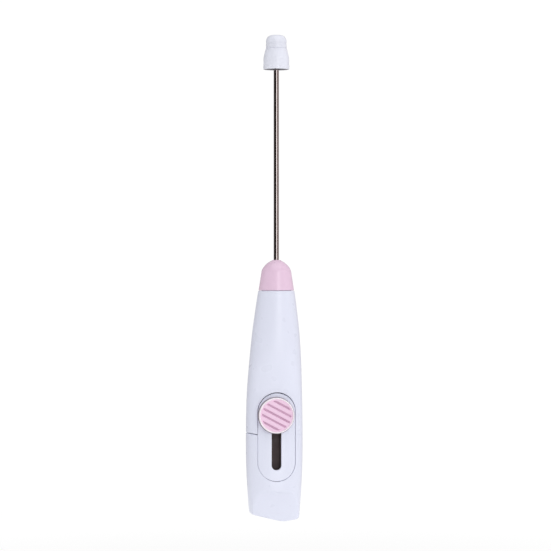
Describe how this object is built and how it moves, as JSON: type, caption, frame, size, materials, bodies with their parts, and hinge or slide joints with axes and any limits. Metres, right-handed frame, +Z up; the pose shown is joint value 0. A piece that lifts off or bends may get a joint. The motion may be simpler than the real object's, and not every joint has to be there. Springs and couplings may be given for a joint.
{
  "type": "milk frother",
  "caption": "Slim hand-held battery frother: flattened white handle with a pink nose and round pink slide switch, a bare steel bead rod and a white bell cap at its tip.",
  "frame": {"origin": "under the middle of the whole object's box, at the height of the handle's lowest point; the rod's axis stands 4.2 mm in front of it", "axes": "+Z up the rod from the handle to the bell cap, -Y the front with the slide switch, +X to the right of someone facing the switch"},
  "size_m": [0.0256, 0.0254, 0.2191],
  "materials": {
    "shell_white": "smooth moulded cool white, soft gloss",
    "nose_pink": "pale pink moulding, soft gloss",
    "knob_pink": "pale pink moulding, satin, ribbed",
    "rod_steel": "polished stainless rod",
    "switch_dark": "dark brown moulding, satin",
    "inner_ivory": "natural moulding, matte",
    "motor_steel": "plated steel",
    "magnet": "sintered ferrite, dull",
    "brass": "turned or stamped brass",
    "copper": "bare copper alloy",
    "contact_nickel": "nickel-plated strip and wire",
    "cell_wrap": "plain printed film over a metal can",
    "silicone": "soft translucent grey silicone",
    "lead_red": "red insulation",
    "lead_black": "black insulation",
    "lead_blue": "blue insulation"
  },
  "bodies": {
    "handle": {"upper_body": "shell_white", "nose_cone": "nose_pink", "rod_bush": "brass", "rod_seal": "silicone", "switch_panel": "shell_white", "switch_base": "switch_dark", "contact_rail_left": "brass", "contact_rail_right": "brass", "battery_tray": "inner_ivory", "battery_left": "cell_wrap", "battery_right": "cell_wrap", "positive_contact": "contact_nickel", "negative_spring": "contact_nickel", "motor_mount": "inner_ivory", "motor_screw_left": "motor_steel", "motor_screw_right": "motor_steel", "motor_can": "motor_steel", "motor_end_cap": "inner_ivory", "motor_bearing": "brass", "magnet_left": "magnet", "magnet_right": "magnet", "brush_left": "brass", "brush_right": "brass", "lead_red": "lead_red", "lead_black": "lead_black", "lead_blue": "lead_blue"},
    "slider": {"slide_knob": "knob_pink", "slider_carriage": "inner_ivory", "contact_bridge": "copper"},
    "drivetrain": {"armature": "motor_steel", "commutator": "copper", "motor_shaft": "motor_steel", "shaft_coupler": "brass", "drive_rod": "rod_steel"},
    "rod_cap": {"end_cap": "shell_white", "cap_plug": "shell_white", "cap_sleeve": "silicone"},
    "battery_cover": {"battery_cap": "shell_white", "battery_bridge": "contact_nickel", "bridge_spring": "contact_nickel"}
  },
  "joints": [
    {"name": "switch_slide", "type": "slide", "parent": "handle", "child": "slider", "axis": [0, 0, -1], "range_m": [0, 0.02]},
    {"name": "drive_spin", "type": "hinge", "parent": "handle", "child": "drivetrain", "pos_m": [0, -0.00422, 0.098], "axis": [0, 0, 1], "continuous": true},
    {"name": "rod_cap_pull", "type": "slide", "parent": "drivetrain", "child": "rod_cap", "axis": [0, 0, 1], "range_m": [0, 0.016]},
    {"name": "battery_cover_slide", "type": "slide", "parent": "handle", "child": "battery_cover", "axis": [0, 0, -1], "range_m": [0, 0.03]}
  ]
}
